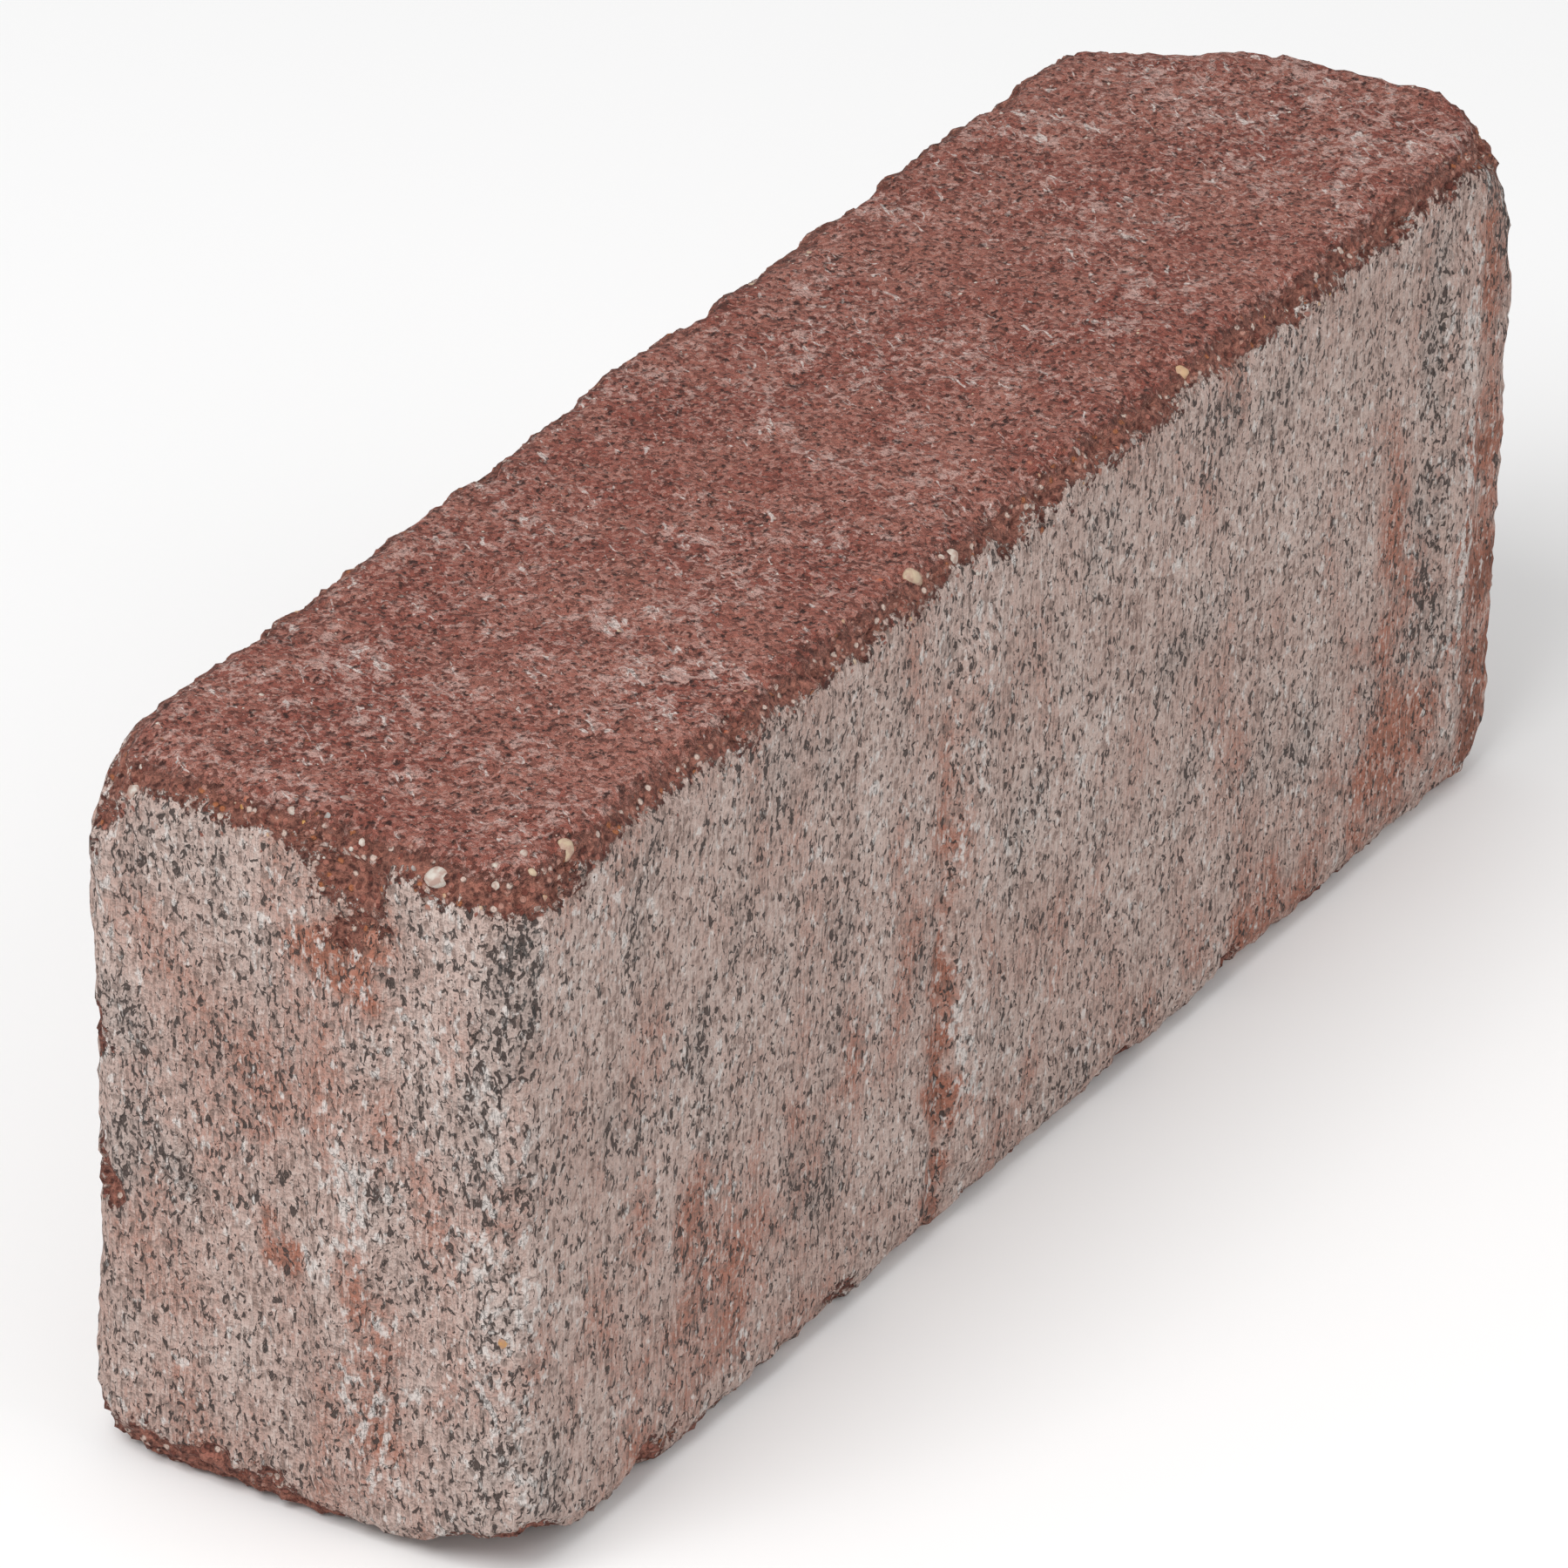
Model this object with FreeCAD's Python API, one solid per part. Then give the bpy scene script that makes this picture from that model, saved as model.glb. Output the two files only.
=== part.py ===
"""A tumbled concrete brick: one cast block, knocked about in a drum so that its
edges are rounded and some of its corners are broken back.

Millimetres. The brick stands on its narrow bed face, with +X along its length
and +Z up. The origin is at the middle of the bed face.
"""
import FreeCAD, Part
import os
from FreeCAD import Vector

# The block between its flat faces
body_length = 198.0
body_width = 50.5
body_height = 79.0

# Tumbling rounds every edge to about this radius
edge_radius = 4.0

# Spacer nibs: low cast ribs that keep laid bricks a joint's width apart, two on
# each long side and one on each end. They stop short of the wearing face and of
# the rounded bed edge, and a half turn of the brick brings them onto each other.
nib_base_width = 11.0
nib_crest_width = 6.0
nib_height = 1.0
nib_end_slope = 4.0
nib_below_top = 9.0
nib_above_bed = 5.0
side_nib_pitch = 100.0
side_nib_from_end = 13.8     # from the block's end to the middle of the nearer nib
end_nib_off_centre = 6.0

# Corners broken back: which end (x), side (y) and level (z) they are at,
# and how far the break runs along the three edges that meet there
corner_breaks = [
    # end, side, level, along x, along y, along z
    (-1, -1, -1, 16.0, 16.0, 8.0),
    (-1, -1, 1, 7.0, 7.0, 8.0),
    (-1, 1, 1, 10.0, 10.0, 10.0),
    (1, -1, 1, 10.0, 9.0, 14.0),
    (1, 1, 1, 18.0, 20.0, 10.0),
    (1, 1, -1, 8.0, 8.0, 8.0),
]

# A spall on the front top edge, where a flake has come off
spall_from_near_end = 93.0
spall_length = 11.0
spall_depth = 1.2


def block():
    """The cast block with sharp edges, its broken corners cut off flat."""
    solid = Part.makeBox(body_length, body_width, body_height,
                         Vector(-body_length / 2, -body_width / 2, 0))
    for end, side, level, along_x, along_y, along_z in corner_breaks:
        solid = solid.cut(corner_piece(end, side, level, along_x, along_y, along_z))
    return solid


def corner_piece(end, side, level, along_x, along_y, along_z):
    """The piece lost at one corner: a tetrahedron, its tip pushed out of the block."""
    corner = Vector(end * body_length / 2, side * body_width / 2,
                    body_height if level > 0 else 0)
    # With the tip one run out along all three edges, legs of four runs end on
    # the plane that crosses the edges one run in from the corner
    tip = corner + Vector(end * along_x, side * along_y, level * along_z)
    legs = 4.0
    ends = [tip - Vector(end * along_x * legs, 0, 0),
            tip - Vector(0, side * along_y * legs, 0),
            tip - Vector(0, 0, level * along_z * legs)]
    faces = [[ends[0], ends[1], ends[2]], [tip, ends[0], ends[1]],
             [tip, ends[1], ends[2]], [tip, ends[2], ends[0]]]
    shell = Part.makeShell([Part.Face(Part.makePolygon(face + face[:1])) for face in faces])
    piece = Part.makeSolid(shell)
    if piece.Volume < 0:
        piece.reverse()
    return piece


def nib():
    """One spacer nib on a face whose outward normal is +Y, its foot on y = 0."""
    foot = nib_above_bed
    head = body_height - nib_below_top
    base, crest = nib_base_width / 2, nib_crest_width / 2
    return Part.makeWedge(-base, 0, foot, foot + nib_end_slope, -crest,
                          base, nib_height, head, head - nib_end_slope, crest)


def side_nibs(turn):
    """The two nibs of one long side; turn is 0 for +Y and 180 for -Y."""
    nibs = []
    nearest = -body_length / 2 + side_nib_from_end
    for along in (nearest, nearest + side_nib_pitch):
        rib = nib()
        rib.translate(Vector(along, body_width / 2, 0))
        rib.rotate(Vector(0, 0, 0), Vector(0, 0, 1), turn)
        nibs.append(rib)
    return nibs


def end_nib(turn):
    """The one nib of an end face; turn is 0 for +X and 180 for -X."""
    rib = nib()
    rib.rotate(Vector(0, 0, 0), Vector(0, 0, 1), -90)
    rib.translate(Vector(body_length / 2, end_nib_off_centre, 0))
    rib.rotate(Vector(0, 0, 0), Vector(0, 0, 1), turn)
    return rib


def spall():
    """What the spall took: a ball that bites the front top edge by its depth."""
    # A ball of radius r that bites d deep leaves a scar 2*sqrt(2*r*d - d*d) long
    ball_radius = ((spall_length / 2) ** 2 + spall_depth ** 2) / (2 * spall_depth)
    # The middle of the rounded edge lies this far in from both flat faces
    inset = edge_radius * (1 - 0.5 ** 0.5)
    out = (ball_radius - spall_depth) * 0.5 ** 0.5
    centre = Vector(-body_length / 2 + spall_from_near_end,
                    -body_width / 2 + inset - out,
                    body_height - inset + out)
    return Part.makeSphere(ball_radius, centre)


def brick():
    """The whole brick as one solid."""
    solid = block()
    solid = solid.makeFillet(edge_radius, solid.Edges)
    for rib in side_nibs(0) + side_nibs(180) + [end_nib(0), end_nib(180)]:
        solid = solid.fuse(rib)
    return solid.cut(spall()).removeSplitter()


os.makedirs("parts", exist_ok=True)
tumbled_brick = brick()
tumbled_brick.exportStep("parts/tumbled_brick.step")
print("solids", len(tumbled_brick.Solids), "valid", tumbled_brick.isValid(),
      "volume cm3", round(tumbled_brick.Volume / 1000, 1))
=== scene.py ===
import math
import random

import bmesh
import bpy
from mathutils import Euler, Matrix, Vector, noise
from mathutils.bvhtree import BVHTree


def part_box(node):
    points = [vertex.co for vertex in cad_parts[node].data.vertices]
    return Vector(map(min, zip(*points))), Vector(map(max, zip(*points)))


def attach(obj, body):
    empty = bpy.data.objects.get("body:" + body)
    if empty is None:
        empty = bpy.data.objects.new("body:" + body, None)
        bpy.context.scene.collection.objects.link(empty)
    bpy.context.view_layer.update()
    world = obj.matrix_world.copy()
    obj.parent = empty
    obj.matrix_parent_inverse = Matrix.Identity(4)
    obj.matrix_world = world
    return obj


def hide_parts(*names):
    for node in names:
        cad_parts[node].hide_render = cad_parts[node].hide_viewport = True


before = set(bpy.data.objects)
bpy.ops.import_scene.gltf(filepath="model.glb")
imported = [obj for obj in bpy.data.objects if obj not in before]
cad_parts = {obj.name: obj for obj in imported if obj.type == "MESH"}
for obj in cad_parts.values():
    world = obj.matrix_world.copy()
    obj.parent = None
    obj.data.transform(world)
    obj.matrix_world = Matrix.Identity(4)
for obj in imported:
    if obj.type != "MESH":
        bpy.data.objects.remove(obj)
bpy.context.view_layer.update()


# ---------------------------------------------------------------- the concrete block
# One block of dry concrete, pressed in a steel mould and then tumbled in a drum.
# The mould's walls leave its sides with a thin, striped skin of cement and its
# spacer nibs. Tumbling rounds the edges and knocks the skin off them.

# Sizes in millimetres, with the origin in the middle of the bed face
mm = 0.001
nib_height = 1.0
half_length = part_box("tumbled_brick")[1][0] / mm - nib_height
half_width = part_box("tumbled_brick")[1][1] / mm - nib_height
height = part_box("tumbled_brick")[1][2] / mm

# Mesh: lines close together where the edges are worn, wider apart on the flats
edge_band = 6.0
edge_step = 0.55
flat_step = 0.98

# Noise is given as layers: how strong, how many mm wide its swells are, and a seed

# Wear: the rounded edges, and the corners broken back
edge_radius = 4.0
radius_swells = [(0.35, 15.0, 1.0), (0.2, 5.0, 2.0)]
corner_breaks = [
    # end, side, level, and how far the break runs along x, y and z
    (-1, -1, -1, 17.0, 17.0, 8.0),
    (-1, -1, 1, 7.0, 7.0, 8.0),
    (-1, 1, -1, 5.0, 6.0, 6.0),
    (-1, 1, 1, 10.0, 10.0, 10.0),
    (1, -1, -1, 6.0, 6.0, 6.0),
    (1, -1, 1, 10.0, 9.0, 15.0),
    (1, 1, -1, 8.0, 8.0, 8.0),
    (1, 1, 1, 18.0, 21.0, 11.0),
]
corner_softness = 3.0
corner_swells = [(1.2, 7.0, 4.0)]

# How far the bare concrete reaches down from the top edge and up from the bed
# edge, and how much further at the near end
top_worn, top_worn_least, top_worn_more = 2.3, 1.7, 0.9
top_worn_swells = [(1.6, 9.0, 3.1), (1.6, 3.6, 5.7)]
bed_worn, bed_worn_more = 0.2, 4.6
bed_worn_swells = [(3.0, 13.0, 8.3), (2.0, 4.0, 9.1)]

# Relief in mm: a pressed face is never quite flat, the crumbled edges are rough,
# the wearing face is sandy, and the skin has upright drawing marks
face_swells = [(0.35, 34.0, 8.0)]
crumbs = [(0.5, 4.5, 9.0), (0.8, 2.1, 10.0), (0.6, 1.2, 11.0)]
crumb_loss = 0.2
sanding = [(0.25, 8.0, 12.0), (0.3, 1.9, 13.0), (0.25, 1.1, 14.0)]
drawing_marks = [(0.12, 1.7, 15.0)]
skin_swells = [(0.12, 3.1, 16.0)]

# Nibs: the middle of each along its face, half their width at the foot and at
# the crest, how far they stop from the top and the bed, and how they run out
side_nibs = {-1: (-14.8, 85.2), 1: (-85.2, 14.8)}
end_nibs = {-1: -6.0, 1: 6.0}
nib_foot = 5.5
nib_crest = 3.0
nib_top = 9.0
nib_bottom = 4.0
nib_slope = 4.0

# A furrow drawn along the foot of one nib: its place, depth and half widths at the
# face and at its bottom, and the levels between which it dies out
furrow_x, furrow_depth, furrow_mouth, furrow_bottom = -20.8, 0.45, 1.5, 0.4
furrow_end, furrow_full = 56, 30

# Knocks: x, y, z of the middle, radius and depth. Their outlines are ragged.
knock_rag = [(3.0, 3.4, 6.0), (1.6, 1.3, 6.4)]
knocks = [
    (-8, -25, 79, 6.5, 1.0), (0, -25, 79, 6.0, 0.9), (-90, -25, 77, 4.0, 0.7), (-99, -6, 75, 5.0, 0.7),
    (-99, -7, 70, 3.5, 0.4), (-99, 8, 79, 3.5, 0.6), (-60, -25, 79, 3.5, 0.6), (-36, -25, 79, 3.0, 0.5),
    (22, -25, 79, 4.0, 0.7), (48, -25, 79, 4.0, 0.7), (70, -25, 79, 4.0, 0.8), (-30, 25, 79, 4.0, 0.6),
    (10, 25, 79, 3.5, 0.6), (45, 25, 79, 4.0, 0.5), (70, 25, 79, 5.0, 0.6), (-99, 25, 48, 3.5, 0.5),
    (-99, 24, 32, 4.0, 0.7), (-99, 25, 72, 4.0, 0.8), (-75, -25, 1, 5.0, 1.0), (-52, -25, 0, 4.0, 0.9),
    (-38, -25, 1, 3.0, 0.9), (18, -25, 0, 5.0, 0.8), (40, -25, 1, 4.0, 0.8), (-70, 25, 78, 4.0, 0.7),
    (99, 10, 79, 5.0, 0.8), (99, -20, 40, 4.0, 0.6), (60, 25, 1, 6.0, 1.0), (-20, 25, 0, 5.0, 0.9),
    (99, 25, 30, 5.0, 0.8), (99, 0, 1, 6.0, 1.0),
]

# Blow holes in the cement skin: x, y, z, radius and depth
blow_holes = [
    (-99, 13, 38, 0.9, 1.0), (-99, 12, 34, 1.1, 1.2), (-99, 10, 32, 0.8, 0.9), (-99, -10, 53, 0.8, 0.9),
    (-99, -20, 62, 0.7, 0.8), (-99, 15.5, 34.5, 0.8, 0.8), (-34, -25, 71, 0.8, 0.8),
    (-49, 11, 79, 1.6, 0.8), (-70, -25, 30, 0.7, 0.7), (40, -25, 40, 0.8, 0.7), (99, -12, 50, 1.0, 1.0),
    (99, 16, 22, 0.9, 0.8), (-60, 25, 44, 0.9, 0.9), (30, 25, 60, 0.8, 0.8), (62, 25, 26, 1.1, 1.0),
]

# Stains: x, y, z of the middle, reach along the face and up it, and strength.
# Where the skin is thin the red shows through; where fines have washed out it is grey and open; where
# it has been rubbed it is pale, as the scuffed top is. A few grey stains on the flanks of the nibs are
# partly painted shade, and a few pale ones on their crests partly painted light.
# Each colour also drifts over the whole block, in patches and in upright streaks.
red_drift, red_streaks = [(0.5, 20.0, 17.0)], [(0.6, 5.0, 18.0)]
grey_drift, grey_streaks = [(0.7, 12.0, 19.0)], [(0.6, 4.0, 20.0)]
pale_drift, pale_streaks = [(0.6, 13.0, 21.0)], [(0.7, 4.0, 22.0)]
red_stains = [
    (-61, -25, 17, 11, 13, 0.7), (-49, -25, 26, 11, 6, 0.55), (-77, -25, 49, 3, 6, 0.4),
    (-20.8, -25, 14, 1.7, 18, 1.5), (-20.8, -25, 46, 1.4, 16, 0.5), (73, -25, 20, 8, 20, 0.75),
    (93, -25, 18, 5, 24, 1.9), (93, -25, 56, 5, 20, 1.0), (-8, -25, 10, 6, 6, 0.5),
    (48, -25, 5, 14, 4, 0.6), (-40, -25, 4, 30, 4, 0.3), (-80, -25, 6, 8, 4, 0.5),
    (-99, 2, 31, 2, 2, 1.6), (-99, -7, 29, 2, 5, 0.8), (-99, -10, 17, 4, 12, 0.55),
    (-99, 12, 21, 6, 12, 0.45), (-99, 2, 50, 9, 20, 0.25), (-99, -12, 40, 5, 10, 0.3),
    (-99, -6, 66, 4.5, 6, 1.3), (-84, 5, 79, 10, 8, 0.6), (-16, 12, 79, 12, 6, 0.4),
    (18, 5, 79, 10, 8, 0.4), (99, 0, 30, 6, 14, 0.8), (20, 25, 20, 9, 12, 0.8),
    (-80, 25, 40, 6, 20, 0.7), (70, 25, 50, 8, 12, 0.5),
]
grey_stains_and_nib_shade = [
    (-47, -25, 19, 6, 4, 1.0), (-54, -25, 46, 5, 3, 0.6), (-70, -25, 50, 4, 5, 0.2),
    (-19, -25, 66, 2, 5, 1.0), (35, -25, 48, 9, 4, 0.8), (29, -25, 31, 4, 3, 0.7),
    # The grey stain at x 79.5 darkens the near flank of the nib at x 85.2: partly the skin's own grey,
    # partly painted shade on the flank
    (48, -25, 24, 6, 4, 0.8), (79.5, -25, 36, 2.5, 18, 1.3), (80, -25, 64, 3, 8, 1.3),
    (8, -25, 6, 5, 4, 0.6), (-94, -25, 12, 4, 6, 0.7), (92.5, -25, 73, 2.5, 4, 2.6),
    (96, -25, 68, 2, 6, 1.8), (-99, 14, 37, 4, 5, 1.2), (-99, 20, 54, 3, 8, 0.7),
    (-99, 21, 29, 3, 14, 0.7), (-99, -9, 41, 3, 5, 0.6), (-99, -23.5, 71, 2.2, 4.5, 2.4),
    (-97, -25, 70, 1.6, 5, 2.1), (-99, -22, 36, 3, 26, 0.9), (-99, -22, 60, 3, 8, 1.1),
    (-50, 25, 30, 8, 6, 0.8), (50, 25, 20, 10, 8, 0.8), (99, 14, 50, 5, 12, 0.8),
    (-40, 8, 0, 14, 8, 0.8), (50, -6, 0, 16, 8, 0.8),
]
pale_stains_and_nib_light = [
    # The pale stains at x -15 and x 87 lie on the crests of the nibs: partly rubbed skin, partly
    # painted highlight on the crests
    (-15, -25, 42, 3, 34, 0.8), (-46.5, -25, 59, 1.6, 3, 1.2), (-18, -25, 67, 1.2, 3, 1.2),
    (-4, -25, 39, 5, 2, 0.5), (8, -25, 44, 6, 2, 0.5), (87, -25, 36, 1.0, 32, 2.2),
    (47, -25, 21, 4, 4, 0.5), (-81, -25, 12, 2, 3, 1.0), (-96, -25, 11, 2, 4, 1.0),
    (-99, -6, 44, 3, 5, 1.3), (-99, -6, 34, 3, 4, 1.5), (-99, -7, 24, 3, 7, 1.2),
    (-99, -16, 52, 4, 20, 0.4), (-99, 23, 69, 2, 6, 0.8), (-99, -11, 9, 3, 3, 0.7),
    (-99, -22, 40, 3, 26, 0.8), (-70, 13, 79, 6, 4, 0.9), (-56, 13, 79, 2, 3, 0.7),
    (-51, -4, 79, 4, 4, 0.9), (-87, -4, 79, 2, 3, 0.9), (-76, -12, 79, 2, 2, 0.7),
    (-29, 13, 79, 2, 4, 0.8), (-9, 0, 79, 2, 6, 0.9), (9, 10, 79, 3, 3, 1.1), (6, 2, 79, 6, 2, 0.7),
    (33, -12, 79, 8, 5, 0.7), (52, -6, 79, 4, 4, 0.6), (65, 13, 79, 5, 4, 0.6), (-44, 8, 79, 4, 7, 0.5),
    (-59, -15, 79, 9, 4, 0.6), (-97, 5, 79, 3, 6, 0.8), (88, 0, 79, 10, 20, 0.4),
    (99, 6, 40, 4, 30, 0.6), (-85, 25, 40, 4, 30, 0.6), (15, 25, 40, 4, 30, 0.6),
]


def ripple(point, size, seed):
    """Smooth noise of about -0.5 to 0.5, whose swells are about this many mm wide."""
    return noise.noise(point / size + Vector((seed, -seed, 2.3 * seed)))


def layered(point, swells):
    """The sum of layers of noise, each given by its strength, its width and its seed."""
    return sum(strength * ripple(point, size, seed) for strength, size, seed in swells)


def smooth(value, start, end):
    """0 at start, 1 at end and an even slope between, whichever is the larger."""
    share = min(max((value - start) / (end - start), 0.0), 1.0)
    return share * share * (3.0 - 2.0 * share)


def nib_at(point, normal):
    """How much of a nib's height stands at this point of the sharp block."""
    if normal.y * normal.y > 0.5:
        middles = side_nibs[1 if normal.y > 0 else -1]
        across = min(abs(point.x - middle) for middle in middles)
    elif normal.x * normal.x > 0.5:
        across = abs(point.y - end_nibs[1 if normal.x > 0 else -1])
    else:
        return 0.0
    ends = min(smooth(point.z, nib_bottom, nib_bottom + nib_slope),
               smooth(height - point.z, nib_top, nib_top + nib_slope))
    return smooth(across, nib_foot, nib_crest) * ends


def worn_band(point):
    """How far down the sides, in mm, the tumbling has taken the skin off the top edge."""
    near_end = smooth(point.x, -half_length + 30, -half_length + 10)
    front = smooth(point.y, 0.0, -half_width)
    band = top_worn + layered(point, top_worn_swells)
    return max(band + top_worn_more * near_end * front, top_worn_least)


def bed_band(point):
    """The same up from the bed edge, where the worn stretches come and go."""
    near_left = smooth(point.x, -half_length + 8, -half_length) * smooth(point.y, -12.0, 4.0)
    return bed_worn + layered(point, bed_worn_swells) + bed_worn_more * near_left


def stained(point, stains):
    """How strongly the listed stains show at this point of the sharp block."""
    ragged_across = layered(point, [(1.0, 5.0, 31.0), (0.5, 1.8, 34.0)])
    ragged_along = layered(point, [(1.0, 5.0, 32.0), (0.5, 1.8, 35.0)])
    ragged_up = layered(point, [(1.0, 7.0, 33.0), (0.5, 2.5, 36.0)])
    most = 0.0
    for x, y, z, reach, rise, strength in stains:
        on_level = z < 0.5 or z > height - 0.5
        off = point - Vector((x, y, z))
        if on_level and abs(off.z) > 1.5 or off.length > 2 * reach + 2 * rise:
            continue
        wander = min(reach, rise) + 1.0
        if on_level:
            across = off.x + wander * ragged_across
            along = off.y + wander * ragged_along
        else:
            across = max(abs(off.x), abs(off.y)) + wander * ragged_across
            along = off.z + 0.8 * (wander + rise) * ragged_up
        most = max(most, strength * smooth(math.hypot(across / reach, along / rise), 1.7, 0.1))
    return most


# A box, cut along its edge bands and then divided into a graded grid
block = bmesh.new()
bmesh.ops.create_cube(block, size=1.0)
bmesh.ops.scale(block, vec=(2 * half_length, 2 * half_width, height), verts=block.verts)
bmesh.ops.translate(block, vec=(0, 0, height / 2), verts=block.verts)
for axis, ends in enumerate(((-half_length, half_length), (-half_width, half_width), (0, height))):
    for level in (ends[0] + edge_band, ends[1] - edge_band):
        middle, normal = Vector(), Vector()
        middle[axis], normal[axis] = level, 1.0
        bmesh.ops.bisect_plane(block, geom=block.verts[:] + block.edges[:] + block.faces[:],
                               plane_co=middle, plane_no=normal, dist=0.0001)
for axis in range(3):
    for band, step in ((True, edge_step), (False, flat_step)):
        edges = []
        for edge in block.edges:
            run = edge.verts[1].co - edge.verts[0].co
            if abs(run[axis]) > 2.0 and (run.length < edge_band + 0.1) == band:
                edges.append(edge)
        longest = max(edge.calc_length() for edge in edges)
        bmesh.ops.subdivide_edges(block, edges=edges, cuts=round(longest / step) - 1,
                                  use_grid_fill=True)

layers = {name: block.verts.layers.float.new(name) for name in ("skin", "up", "red", "grey", "pale")}

# The plane of each corner break: the corner, the way out and the depth below it
planes = []
for end, side, level, along_x, along_y, along_z in corner_breaks:
    corner = Vector((end * half_length, side * half_width, height if level > 0 else 0.0))
    slope = Vector((end / along_x, side / along_y, level / along_z))
    planes.append((corner, slope.normalized(), 1.0 / slope.length))

for vert in block.verts:
    sharp = vert.co.copy()
    from_ends = half_length - abs(sharp.x)
    from_sides = half_width - abs(sharp.y)
    from_level = min(sharp.z, height - sharp.z)
    to_edge = sorted((from_ends, from_sides, from_level))[1]

    # Round the edges, with a radius that wanders
    radius = edge_radius * (1.0 + layered(sharp, radius_swells))
    core = Vector((min(max(sharp.x, radius - half_length), half_length - radius),
                   min(max(sharp.y, radius - half_width), half_width - radius),
                   min(max(sharp.z, radius), height - radius)))
    normal = (sharp - core).normalized()
    point = core + normal * radius

    # Break the corners, easing into the break over the softness
    broken = -10.0
    for corner, outwards, depth in planes:
        over = (point - corner).dot(outwards) + depth
        over += layered(sharp, corner_swells)
        broken = max(broken, over)
        if over > -corner_softness:
            give = (over + corner_softness) ** 2 / (4 * corner_softness)
            point -= outwards * (give if over < corner_softness else over)

    # Where the skin is worn off: the distance from the worn part, negative inside
    skin = height - sharp.z - worn_band(sharp)
    skin = min(skin, max(sharp.z, min(from_ends, from_sides)) - bed_band(sharp))
    skin = min(skin, 1.6 - broken)
    bite = 0.0
    for x, y, z, reach, depth in knocks:
        off = (sharp - Vector((x, y, z))).length
        if off < reach + 4.0:
            off += layered(sharp, knock_rag)
            skin = min(skin, off - 0.75 * reach)
            bite = max(bite, depth * smooth(off, reach, 0.3 * reach))

    # Relief: nibs, swells, crumbled edges, sand, drawing marks, furrow, blow holes
    nib = nib_at(sharp, normal) * (0.85 + 0.5 * ripple(sharp, 7.0, 7.0))
    lift = nib_height * nib - bite + layered(sharp, face_swells)
    edge = smooth(to_edge, 6.0, 1.0)
    on_top = smooth(normal.z, 0.5, 0.9)
    crumbled = smooth(skin, 0.4, -0.6) * (1.0 - on_top)
    rough = max(crumbled, 0.5 * on_top * edge, 0.5 * edge)
    lift += rough * (layered(sharp, crumbs) - crumb_loss)
    lift += on_top * layered(sharp, sanding)
    drawn = Vector((sharp.x, sharp.y, 0.25 * sharp.z))
    marks = layered(drawn, drawing_marks) + layered(sharp, skin_swells)
    lift += (1.0 - rough) * (1.0 - on_top) * marks
    if sharp.y < 0:
        furrow = smooth(abs(sharp.x - furrow_x), furrow_mouth, furrow_bottom)
        lift -= furrow_depth * furrow * smooth(sharp.z, furrow_end, furrow_full)
    for x, y, z, reach, depth in blow_holes:
        off = (sharp - Vector((x, y, z))).length
        lift -= depth * smooth(off, reach * 1.3, reach * 0.4)
    vert.co = point + normal * lift

    # Colouring: drifts of red, grey and pale over the whole block, and its stains
    streaked = Vector((sharp.x, sharp.y, 0.4 * sharp.z))
    vert[layers["skin"]] = skin
    vert[layers["up"]] = normal.z
    for name, drift, streaks, stains in (("red", red_drift, red_streaks, red_stains),
                                         ("grey", grey_drift, grey_streaks, grey_stains_and_nib_shade),
                                         ("pale", pale_drift, pale_streaks, pale_stains_and_nib_light)):
        vert[layers[name]] = (layered(sharp, drift) + layered(streaked, streaks)
                              + stained(sharp, stains))

# The bed is flat where the brick stands
for vert in block.verts:
    vert.co.z = max(vert.co.z, 0.0)

# Faces that look up take the wearing face's material, the rest the cement skin's
bmesh.ops.scale(block, vec=(mm, mm, mm), verts=block.verts)
block.normal_update()
for face in block.faces:
    face.smooth = True
    face.material_index = 1 if sum(vert[layers["up"]] for vert in face.verts) > 4 * 0.7 else 0
concrete_block = bpy.data.objects.new("concrete_block", bpy.data.meshes.new("concrete_block"))
bpy.context.collection.objects.link(concrete_block)
block.to_mesh(concrete_block.data)


def colour(code):
    """Linear red, green, blue and alpha from an sRGB hex code."""
    parts = [int(code[i:i + 2], 16) / 255 for i in (0, 2, 4)]
    return [c / 12.92 if c <= 0.04045 else ((c + 0.055) / 1.055) ** 2.4 for c in parts] + [1.0]


def add(tree, kind, inputs=None, out=0, **settings):
    """Adds a shader node with its settings and links; gives the output wanted."""
    made = tree.nodes.new("ShaderNode" + kind)
    for name, value in settings.items():
        setattr(made, name, value)
    for socket, value in (inputs or {}).items():
        if isinstance(value, bpy.types.NodeSocket):
            tree.links.new(value, made.inputs[socket])
        else:
            made.inputs[socket].default_value = value
    return None if out is None else made.outputs[out]


# Sockets go by number: Map Range has its value at 0, from at 1 and 2 and to at 3
# and 4; Mix has its share at 0, then numbers at 2 and 3 or colours at 6 and 7
smoothstep = {"interpolation_type": "SMOOTHSTEP"}
blend = {"data_type": "RGBA", "out": 2}


def start_concrete(name):
    """A new material's node tree, and millimetres over the block."""
    made = bpy.data.materials.new(name)
    made.use_nodes = True
    made.node_tree.nodes.clear()
    concrete_block.data.materials.append(made)
    where = add(made.node_tree, "TexCoord", out="Object")
    return made.node_tree, add(made.node_tree, "VectorMath", {0: where, 1: (1 / mm,) * 3},
                               operation="MULTIPLY")


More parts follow.
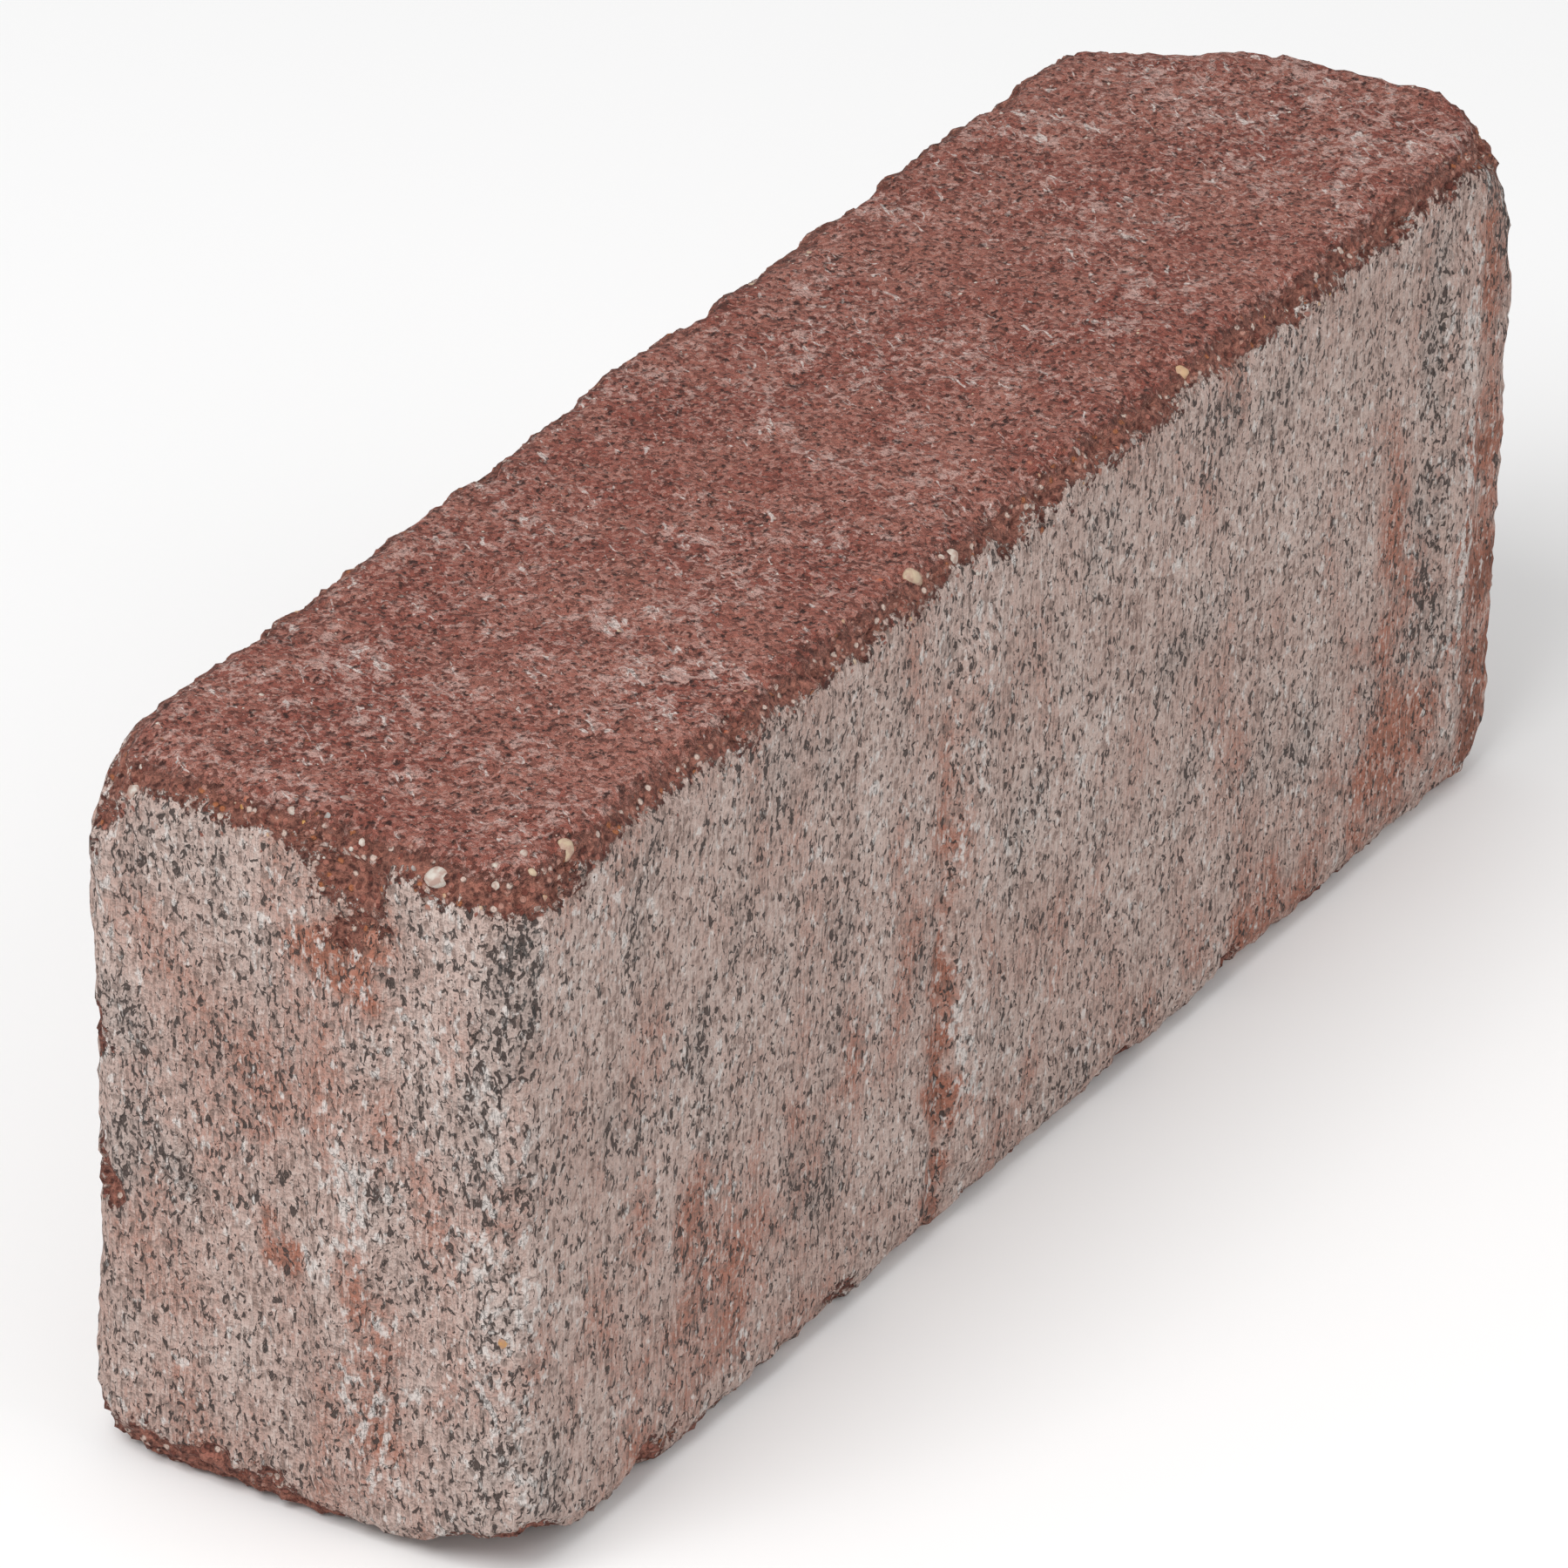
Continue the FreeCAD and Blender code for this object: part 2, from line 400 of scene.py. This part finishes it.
def crumbled_edge(tree, place):
    """The broken concrete of the edges: sand and fine grit in a dark red-brown
    matrix. Gives its colour, its height in mm, and a random tear in mm."""
    grit_size = 0.85
    matrix_size = 0.8
    grit = add(tree, "TexVoronoi", {"Vector": place, "Scale": 1 / grit_size}).node
    grit_draw = add(tree, "SeparateColor", {0: grit.outputs["Color"]})
    grit_colour = add(tree, "ValToRGB", {0: grit_draw})
    ramp = grit_colour.node.color_ramp
    ramp.interpolation = "CONSTANT"
    # The palest specks are partly pale quartz grit and partly painted glints where light catches the
    # grit
    kinds = [(0.0, "6A3429"), (0.25, "8A5244"), (0.45, "A5695A"), (0.62, "5A2A20"),
             (0.74, "A8643C"), (0.80, "B98A7B"), (0.90, "D8C3B6")]
    for number, (start, code) in enumerate(kinds):
        stop = ramp.elements[number] if number < 2 else ramp.elements.new(start)
        stop.position = start
        stop.color = colour(code)
    matrix = add(tree, "TexNoise", {"Vector": place, "Scale": 1 / matrix_size, "Detail": 3,
                                    "Roughness": 0.6})
    # The matrix is painted darker in its hollows and lighter on its high points: painted shade and
    # painted light that follow its relief, over its own dark red-brown
    matrix_painted_shading = add(tree, "MapRange", {0: matrix, 1: 0.34, 2: 0.64})
    matrix_colour = add(tree, "Mix", {0: matrix_painted_shading, 6: colour("3E1A12"), 7: colour("A06858")},
                        **blend)
    heart = add(tree, "MapRange", {0: grit.outputs["Distance"], 1: 0.5, 2: 0.3}, **smoothstep)
    heart_share = add(tree, "Math", {0: heart, 1: 0.75}, operation="MULTIPLY")
    edge_colour = add(tree, "Mix", {0: heart_share, 6: matrix_colour, 7: grit_colour}, **blend)
    edge_height = add(tree, "Math", {0: heart, 1: 0.2, 2: matrix}, operation="MULTIPLY_ADD")
    tear = add(tree, "MapRange", {0: matrix, 1: 0.25, 2: 0.75, 3: -2.0, 4: 2.0})
    return edge_colour, edge_height, tear


def finish_concrete(tree, whole_colour, relief):
    """Dull, dry concrete of this colour, with its relief in mm."""
    bump = add(tree, "Bump", {"Height": relief, "Strength": 1.0, "Distance": mm})
    shader = add(tree, "BsdfPrincipled", {"Base Color": whole_colour, "Roughness": 0.92,
                                          "IOR": 1.5, "Normal": bump})
    add(tree, "OutputMaterial", {"Surface": shader}, out=None)


# The skin from the mould: a matt pinkish grey cement film, drawn into fine
# upright stripes as the block was pushed out, and full of pinholes. Along the
# block's edges it is torn back to the crumbled concrete under it. Pattern sizes
# are in mm.
stripe_width = 0.42
grain_size = 0.95
pinhole_size = 0.66
fleck_size = 1.1
tree, place = start_concrete("cement_skin")
tall = add(tree, "VectorMath", {0: place, 1: (1, 1, 0.6)}, operation="MULTIPLY")
drawn = add(tree, "VectorMath", {0: place, 1: (1, 1, 0.17)}, operation="MULTIPLY")
skin, red, grey, pale = (add(tree, "Attribute", attribute_name=name, out="Fac")
                         for name in ("skin", "red", "grey", "pale"))

# Fine upright stripes woven with the grain of the film; they set its relief, and the painted light and
# shade that follow it below
stripes = add(tree, "TexNoise", {"Vector": drawn, "Scale": 1 / stripe_width, "Detail": 1})
grain = add(tree, "TexNoise", {"Vector": place, "Scale": 1 / grain_size, "Detail": 2,
                               "Roughness": 0.65})
weave = add(tree, "Mix", {0: 0.62, 2: stripes, 3: grain})

# The film is cloudy, and red shows through it in drifts, deepest in the stains
cloudy = add(tree, "MapRange", {0: pale, 1: -0.9, 2: 1.1})
base = add(tree, "Mix", {0: cloudy, 6: colour("AF958B"), 7: colour("C5B0A7")}, **blend)
tint = add(tree, "Math", {0: grain, 1: 1.8, 2: red}, operation="MULTIPLY_ADD")
tint = add(tree, "MapRange", {0: tint, 1: 0.7, 2: 1.9}, **smoothstep)
base = add(tree, "Mix", {0: tint, 6: base, 7: colour("A06855")}, **blend)
# Painted light on the crests of the weave and painted shade in its hollows, where the relief rises and
# sinks
light = add(tree, "MapRange", {0: weave, 1: 0.525, 2: 0.6, 4: 0.5})
base = add(tree, "Mix", {0: light, 6: base, 7: colour("CFC1B9")}, **blend)
dark = add(tree, "MapRange", {0: weave, 1: 0.475, 2: 0.4, 4: 0.6})
base = add(tree, "Mix", {0: dark, 6: base, 7: colour("664E44")}, **blend)
deep = add(tree, "MapRange", {0: red, 1: 1.1, 2: 2.2, 4: 0.9})
base = add(tree, "Mix", {0: deep, 6: base, 7: colour("70402F")}, **blend)

# Grey, washed-out mottling, where the pinholes of about half a millimetre run
# together into short seams, and soot on a few corners
mottle = add(tree, "MapRange", {0: grey, 1: 0.1, 2: 0.9})
mottle_grey = add(tree, "Math", {0: mottle, 1: 0.3}, operation="MULTIPLY")
base = add(tree, "Mix", {0: mottle_grey, 6: base, 7: colour("94908C")}, **blend)
pinholes = add(tree, "TexNoise", {"Vector": tall, "Scale": 1 / pinhole_size, "Detail": 2,
                                  "Roughness": 0.6, "Distortion": 0.8})
pinholes = add(tree, "Math", {0: mottle, 1: -0.07, 2: pinholes}, operation="MULTIPLY_ADD")
pinholes = add(tree, "MapRange", {0: pinholes, 1: 0.41, 2: 0.35, 4: 0.95})
# The pinholes are painted near black: painted shade inside them
base = add(tree, "Mix", {0: pinholes, 6: base, 7: colour("433733")}, **blend)
soot = add(tree, "Math", {0: weave, 1: 12.0, 2: grey}, operation="MULTIPLY_ADD")
soot = add(tree, "MapRange", {0: soot, 1: 8.1, 2: 8.7, 4: 0.85})
base = add(tree, "Mix", {0: soot, 6: base, 7: colour("3A3533")}, **blend)

# Rubbed whitish flecks
rubbed = add(tree, "TexNoise", {"Vector": tall, "Scale": 1 / fleck_size, "Detail": 2,
                                "Roughness": 0.65})
rubbed = add(tree, "Math", {0: pale, 1: 0.09, 2: rubbed}, operation="MULTIPLY_ADD")
rubbed = add(tree, "MapRange", {0: rubbed, 1: 0.6, 2: 0.68, 4: 0.8})
base = add(tree, "Mix", {0: rubbed, 6: base, 7: colour("D4CCC7")}, **blend)

# The relief follows the weave, with the pinholes sunk in it
height_mm = add(tree, "Math", {0: pinholes, 1: -0.4, 2: weave}, operation="MULTIPLY_ADD")
height_mm = add(tree, "Math", {0: height_mm, 1: 1.8}, operation="MULTIPLY")

# The film ends in a ragged tear
edge_colour, edge_height, tear = crumbled_edge(tree, place)
torn = add(tree, "Math", {0: skin, 1: tear}, operation="ADD")
torn = add(tree, "MapRange", {0: torn, 1: 0.25, 2: -0.25})
whole_colour = add(tree, "Mix", {0: torn, 6: base, 7: edge_colour}, **blend)
relief = add(tree, "Mix", {0: torn, 2: height_mm, 3: edge_height})
finish_concrete(tree, whole_colour, relief)

# The wearing face: sand-grained concrete, red-brown with iron oxide, struck
# rough by the press and scuffed in the drum, with a dusty pinkish bloom.
# Pattern sizes are in mm; a scuff is longer than wide, and lies this many
# degrees round from the length of the block.
sand_size = 0.5
pore_size = 0.8
wisp_size = 1.4
scuff_size, scuff_stretch, scuff_turn = 1.2, 2.2, 56
tree, place = start_concrete("wearing_face")
up, red, pale = (add(tree, "Attribute", attribute_name=name, out="Fac")
                 for name in ("up", "red", "pale"))
shade = add(tree, "MapRange", {0: red, 1: 0.4, 2: -0.3}, **smoothstep)
base = add(tree, "Mix", {0: shade, 6: colour("914E41"), 7: colour("A36658")}, **blend)
sand = add(tree, "TexVoronoi", {"Vector": place, "Scale": 1 / sand_size}).node
sand_draw = add(tree, "SeparateColor", {0: sand.outputs["Color"]})
pale_grains = add(tree, "MapRange", {0: sand_draw, 1: 0.6, 2: 1.0, 4: 0.75})
base = add(tree, "Mix", {0: pale_grains, 6: base, 7: colour("BC8C80")}, **blend)
dark_grains = add(tree, "MapRange", {0: sand_draw, 1: 0.4, 2: 0.0, 4: 0.8})
base = add(tree, "Mix", {0: dark_grains, 6: base, 7: colour("4E251B")}, **blend)
fine = add(tree, "TexNoise", {"Vector": place, "Scale": 1 / pore_size, "Detail": 3,
                              "Roughness": 0.65})
# The pores are painted near black where the fine roughness sinks lowest: painted shade in its hollows
painted_pore_shade = add(tree, "MapRange", {0: fine, 1: 0.42, 2: 0.34})
base = add(tree, "Mix", {0: painted_pore_shade, 6: base, 7: colour("351610")}, **blend)

# Bloom, in wisps that gather into clouds, and a few short scuffs across the face
cloud = add(tree, "TexNoise", {"Vector": place, "Scale": 1 / wisp_size, "Detail": 3,
                               "Roughness": 0.7, "Distortion": 0.5})
bloom = add(tree, "Math", {0: pale, 1: 0.13, 2: cloud}, operation="MULTIPLY_ADD")
bloom = add(tree, "MapRange", {0: bloom, 1: 0.555, 2: 0.65, 4: 0.85})
base = add(tree, "Mix", {0: bloom, 6: base, 7: colour("C8A298")}, **blend)
scuffs = add(tree, "Mapping", {"Vector": place, "Rotation": (0, 0, math.radians(scuff_turn)),
                               "Scale": (scuff_stretch, 1, 1)}, vector_type="TEXTURE")
scuffs = add(tree, "TexNoise", {"Vector": scuffs, "Scale": 1 / scuff_size, "Detail": 2,
                                "Roughness": 0.6, "Distortion": 1.0})
scuffs = add(tree, "Math", {0: pale, 1: 0.08, 2: scuffs}, operation="MULTIPLY_ADD")
scuffs = add(tree, "MapRange", {0: scuffs, 1: 0.645, 2: 0.73, 4: 0.95})
base = add(tree, "Mix", {0: scuffs, 6: base, 7: colour("DCCBC4")}, **blend)

# The relief: rounded grains of sand on a fine roughness
height_mm = add(tree, "MapRange", {0: sand.outputs["Distance"], 1: 0.1, 2: 0.65, 3: 0.16, 4: 0.0},
                **smoothstep)
height_mm = add(tree, "Math", {0: fine, 1: 1.7, 2: height_mm}, operation="MULTIPLY_ADD")

# Where the face turns down it gives way to the crumbled edge
edge_colour, edge_height, tear = crumbled_edge(tree, place)
level = add(tree, "Math", {0: tear, 1: 0.11, 2: up}, operation="MULTIPLY_ADD")
level = add(tree, "MapRange", {0: level, 1: 0.78, 2: 0.94})
whole_colour = add(tree, "Mix", {0: level, 6: edge_colour, 7: base}, **blend)
relief = add(tree, "Mix", {0: level, 2: edge_height, 3: height_mm})
finish_concrete(tree, whole_colour, relief)

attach(concrete_block, "root")
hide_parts("tumbled_brick")


# ---------------------------------------------------------------- the exposed stones
# River gravel and coarse sand of the mix, laid bare where the edges crumbled:
# white and cream quartz, grey and orange grains, most of them filmed with cement.

# The larger ones: x, y, z of the middle and size in mm, and kind from 0 to 1
larger_stones = [
    (-24.7, -23.8, 78.1, 2.8, 0.72), (-18.0, -23.8, 78.1, 2.1, 0.76), (-19.7, -23.6, 78.3, 1.2, 0.76),
    (27.6, -23.7, 78.2, 2.1, 0.66), (7.0, -23.8, 78.1, 1.3, 0.86), (-88.6, -23.6, 78.2, 1.9, 0.72),
    (-92.4, -21.1, 78.8, 1.2, 0.76), (-97.8, -15.6, 77.4, 3.2, 0.95), (-93.0, -1.8, 78.8, 1.3, 0.86),
    (-96.8, 1.8, 78.4, 1.3, 0.95), (-97.7, 7.1, 77.6, 1.4, 0.62), (-98.0, -5.7, 77.2, 1.1, 0.95),
    (-98.4, -23.2, 28.2, 1.3, 0.62), (-97.9, 19.5, 75.5, 2.6, 0.95), (-98.4, 16.0, 73.0, 1.6, 0.88),
    (-97.3, -6.5, 77.5, 1.4, 0.95), (-96.0, -20.0, 76.5, 1.2, 0.76), (-94.0, -23.4, 78.4, 1.2, 0.72),
    (-97.0, -3.0, 78.0, 1.3, 0.56), (60.0, -23.6, 78.2, 1.3, 0.76), (20.0, 23.6, 78.3, 1.6, 0.72),
    (-45.0, 23.8, 78.1, 1.8, 0.86), (97.5, 5.0, 77.8, 1.9, 0.76), (96.5, -8.0, 78.0, 1.3, 0.95),
]
smaller_stones = 800
sand_handfuls = 65
sand_in_handful = 100

# How deep below the surface the middle of a stone lies, as a share of its size
sunk = 0.22

# The lines that find the stones' places, in mm: how far inside the sharp block
# they aim, and how far out they start
large_inset, small_inset, sand_inset = 8, 5, 5
outside = 40

# How fine the round shapes are: 320 faces for a large stone and 20 for a small one
large_detail, small_detail = 3, 1
chance = random.Random(5)
block_surface = BVHTree.FromBMesh(block)
block.free()


def add_stone(stones, aim, core, size, kind, detail):
    """A squashed, lumpy pebble sunk into the block with its top showing, where
    a line from outside, through aim, to core meets the surface."""
    start = core + (aim - core).normalized() * outside * mm
    spot, normal, face, away = block_surface.ray_cast(start, core - start)
    squash = Matrix.Diagonal((chance.uniform(0.75, 1.1), chance.uniform(0.6, 0.95),
                              chance.uniform(0.5, 0.75), 1.0)) * (size / 2)
    squash[3][3] = 1.0
    tilt = Euler((chance.uniform(-0.5, 0.5), chance.uniform(-0.5, 0.5), chance.uniform(0, 6.3)))
    turn = normal.to_track_quat("Z", "Y") @ tilt.to_quaternion()
    placed = Matrix.Translation(spot - normal * size * sunk) @ turn.to_matrix().to_4x4() @ squash
    made = bmesh.ops.create_icosphere(stones, subdivisions=detail, radius=1.0, matrix=placed)
    for vert in made["verts"]:
        lump = 0.5 * noise.noise(vert.co / (size * 0.7)) + 0.25 * noise.noise(vert.co / (size * 0.3))
        vert.co += (vert.co - spot) * lump
        vert[stones.verts.layers.float["kind"]] = kind


stones = bmesh.new()
stones.verts.layers.float.new("kind")
for x, y, z, size, kind in larger_stones:
    core = Vector((max(min(x, half_length - large_inset), large_inset - half_length),
                   max(min(y, 15.0), -15.0), min(z, height - large_inset)))
    add_stone(stones, Vector((x, y, z)) * mm, core * mm, size * mm, kind, large_detail)

# The smaller ones lie all along the worn top edge, on its four sides
rim = 4 * (half_length + half_width)
for number in range(smaller_stones):
    along = chance.uniform(0, rim)
    side = 1 if along > rim / 2 else -1
    along %= rim / 2
    if along < 2 * half_length:
        core = Vector((along - half_length, side * (half_width - small_inset), height - small_inset))
        core.x = max(min(core.x, half_length - small_inset), small_inset - half_length)
        out = Vector((0, side, 0))
    else:
        core = Vector((side * (half_length - small_inset), along - 2 * half_length - half_width,
                       height - small_inset))
        core.y = max(min(core.y, half_width - small_inset), small_inset - half_width)
        out = Vector((side, 0, 0))
    lean = math.radians(chance.triangular(-10, 80, 30))
    aim = core + out * math.cos(lean) + Vector((0, 0, math.sin(lean)))
    size = chance.triangular(0.4, 1.3, 0.6)
    add_stone(stones, aim * mm, core * mm, size * mm, chance.random() ** 2.6, small_detail)

# Sand on the wearing face, added in handfuls, because a small mesh grows faster
handful_mesh = bpy.data.meshes.new("handful")
for handful in range(sand_handfuls):
    grains = bmesh.new()
    grains.verts.layers.float.new("kind")
    for number in range(sand_in_handful):
        aim = Vector((chance.uniform(4 - half_length, half_length - 4),
                      chance.uniform(3 - half_width, half_width - 3), height + sand_inset))
        core = aim - Vector((0, 0, 2 * sand_inset))
        kind = chance.triangular(0.0, 0.6, 0.1) if chance.random() < 0.96 else chance.uniform(0.7, 1.0)
        size = chance.triangular(0.4, 0.9, 0.5)
        add_stone(grains, aim * mm, core * mm, size * mm, kind, small_detail)
    grains.to_mesh(handful_mesh)
    stones.from_mesh(handful_mesh)
    grains.free()
for face in stones.faces:
    face.smooth = True
exposed_stones = bpy.data.objects.new("exposed_stones", bpy.data.meshes.new("exposed_stones"))
bpy.context.collection.objects.link(exposed_stones)
stones.to_mesh(exposed_stones.data)
stones.free()
bpy.data.meshes.remove(handful_mesh)

# Hard, slightly shining pebbles, dusted with the red-brown cement, in patches of
# this many mm
dust_size = 0.9
gravel = bpy.data.materials.new("river_gravel")
gravel.use_nodes = True
gravel.node_tree.nodes.clear()
tree = gravel.node_tree
place = add(tree, "TexCoord", out="Object")
kind = add(tree, "Attribute", attribute_name="kind", out="Fac")
stone_colour = add(tree, "ValToRGB", {0: kind})
ramp = stone_colour.node.color_ramp
ramp.interpolation = "CONSTANT"
kinds = [(0.0, "7A4335"), (0.35, "94604F"), (0.55, "A5583A"), (0.61, "B98A4A"), (0.65, "BC9A76"),
         (0.7, "B9A48A"), (0.74, "BFB4A8"), (0.82, "989490"), (0.9, "BFB7AD")]
for number, (start, code) in enumerate(kinds):
    stop = ramp.elements[number] if number < 2 else ramp.elements.new(start)
    stop.position = start
    stop.color = colour(code)
dust = add(tree, "TexNoise", {"Vector": place, "Scale": 1 / (dust_size * mm), "Detail": 2})
dusted = add(tree, "MapRange", {0: dust, 1: 0.42, 2: 0.6, 4: 0.75})
stone_colour = add(tree, "Mix", {0: dusted, 6: stone_colour, 7: colour("9A7467")}, **blend)
shader = add(tree, "BsdfPrincipled", {"Base Color": stone_colour, "Roughness": 0.5})
add(tree, "OutputMaterial", {"Surface": shader}, out=None)
exposed_stones.data.materials.append(gravel)
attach(exposed_stones, "root")


# ---------------------------------------------------------------- the studio
# A plain white table under two soft panels of light, a strong one above and to
# the left and a weak one to the front, with the white room filling the shadows.

floor_half_width = 6.0
room_light = 0.62
floor_mesh = bpy.data.meshes.new("floor")
floor = bpy.data.objects.new("floor", floor_mesh)
bpy.context.collection.objects.link(floor)
table = bmesh.new()
bmesh.ops.create_grid(table, x_segments=1, y_segments=1, size=floor_half_width)
table.to_mesh(floor_mesh)
table.free()
paper = bpy.data.materials.new("white_paper")
paper.use_nodes = True
paper.node_tree.nodes["Principled BSDF"].inputs["Base Color"].default_value = colour("F6F6F6")
paper.node_tree.nodes["Principled BSDF"].inputs["Roughness"].default_value = 0.9
paper.node_tree.nodes["Principled BSDF"].inputs["Specular IOR Level"].default_value = 0.1
floor_mesh.materials.append(paper)

room = bpy.data.worlds.new("white_room")
bpy.context.scene.world = room
room.use_nodes = True
room.node_tree.nodes["Background"].inputs["Color"].default_value = (1, 1, 1, 1)
room.node_tree.nodes["Background"].inputs["Strength"].default_value = room_light

# Panels: azimuth and elevation in degrees, distance and size in metres, and watts
panels = [("key_panel", -95, 52, 1.2, 0.7, 9.0), ("fill_panel", 10, 35, 1.4, 0.9, 3.5)]
middle = Vector((0, 0, height / 2 * mm))
for name, azimuth, elevation, distance, size, power in panels:
    lamp = bpy.data.lights.new(name, "AREA")
    lamp.size = size
    lamp.energy = power
    holder = bpy.data.objects.new(name, lamp)
    bpy.context.collection.objects.link(holder)
    a, e = math.radians(azimuth), math.radians(elevation)
    away = Vector((math.sin(a) * math.cos(e), -math.cos(a) * math.cos(e), math.sin(e)))
    holder.location = middle + away * distance
    holder.rotation_euler = away.to_track_quat("Z", "Y").to_euler()

# A long lens, a little turned about its own axis
azimuth, elevation, roll = math.radians(-59.02), math.radians(29.69), math.radians(1.25)
distance, shift_right, shift_up = 1158.5 * mm, -5.16 * mm, -3.30 * mm
back = Vector((math.sin(azimuth) * math.cos(elevation),
               -math.cos(azimuth) * math.cos(elevation), math.sin(elevation)))
right = Vector((math.cos(azimuth), math.sin(azimuth), 0))
rise = back.cross(right)
right, rise = (right * math.cos(roll) + rise * math.sin(roll),
               rise * math.cos(roll) - right * math.sin(roll))
lens = bpy.data.cameras.new("camera")
lens.lens = 260
lens.sensor_width = 36
lens.clip_start = 0.01
camera = bpy.data.objects.new("camera", lens)
bpy.context.collection.objects.link(camera)
turned = Matrix((right, rise, back)).transposed().to_4x4()
camera.matrix_world = Matrix.Translation(middle + back * distance + right * shift_right
                                         + rise * shift_up) @ turned
bpy.context.scene.camera = camera
bpy.context.scene.view_settings.view_transform = "Standard"
